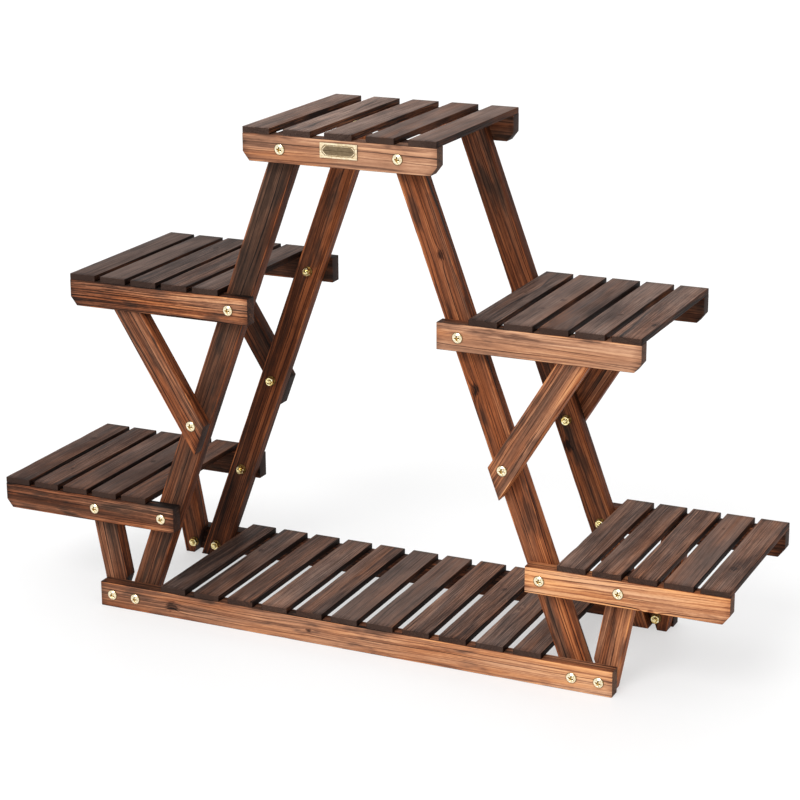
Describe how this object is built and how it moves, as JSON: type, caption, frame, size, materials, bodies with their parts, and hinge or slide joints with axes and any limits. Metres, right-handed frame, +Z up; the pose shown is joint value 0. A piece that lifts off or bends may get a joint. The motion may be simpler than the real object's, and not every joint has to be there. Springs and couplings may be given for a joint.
{
  "type": "plant stand",
  "caption": "Tiered wooden plant stand: two bolted A-shaped board frames, braced and strutted, joined by slatted top, side and base shelves.",
  "frame": {"origin": "on the floor, midway between the feet and between the two frames", "axes": "+X along the front to the right, +Y from the front frame to the back one, +Z up"},
  "size_m": [0.9764, 0.2566, 0.6435],
  "materials": {
    "rail_wood": "charred and brushed softwood, reddish brown to tan",
    "leg_wood": "charred and brushed softwood, dark red-brown",
    "slat_wood": "charred and brushed softwood, grey-brown",
    "zinc_steel": "yellow zinc plated"
  },
  "bodies": {
    "root": {"front_top_rail": "rail_wood", "front_base_rail": "rail_wood", "front_upper_left_rail": "rail_wood", "front_upper_right_rail": "rail_wood", "front_lower_left_rail": "rail_wood", "front_lower_right_rail": "rail_wood", "back_top_rail": "rail_wood", "back_base_rail": "rail_wood", "back_upper_left_rail": "rail_wood", "back_upper_right_rail": "rail_wood", "back_lower_left_rail": "rail_wood", "back_lower_right_rail": "rail_wood", "front_left_leg": "leg_wood", "front_left_strut": "leg_wood", "front_left_brace": "leg_wood", "front_right_leg": "leg_wood", "front_right_strut": "leg_wood", "front_right_brace": "leg_wood", "back_left_leg": "leg_wood", "back_left_strut": "leg_wood", "back_left_brace": "leg_wood", "back_right_leg": "leg_wood", "back_right_strut": "leg_wood", "back_right_brace": "leg_wood", "top_slat_1": "slat_wood", "top_slat_2": "slat_wood", "top_slat_3": "slat_wood", "top_slat_4": "slat_wood", "top_slat_5": "slat_wood", "upper_left_slat_1": "slat_wood", "upper_left_slat_2": "slat_wood", "upper_left_slat_3": "slat_wood", "upper_left_slat_4": "slat_wood", "upper_left_slat_5": "slat_wood", "upper_right_slat_1": "slat_wood", "upper_right_slat_2": "slat_wood", "upper_right_slat_3": "slat_wood", "upper_right_slat_4": "slat_wood", "upper_right_slat_5": "slat_wood", "lower_left_slat_1": "slat_wood", "lower_left_slat_2": "slat_wood", "lower_left_slat_3": "slat_wood", "lower_left_slat_4": "slat_wood", "lower_left_slat_5": "slat_wood", "lower_right_slat_1": "slat_wood", "lower_right_slat_2": "slat_wood", "lower_right_slat_3": "slat_wood", "lower_right_slat_4": "slat_wood", "lower_right_slat_5": "slat_wood", "base_slats": "slat_wood", "frame_bolts": "zinc_steel", "bolt_washers": "zinc_steel", "hex_nuts": "zinc_steel", "slat_nails": "zinc_steel", "brace_screws": "zinc_steel"}
  },
  "joints": []
}
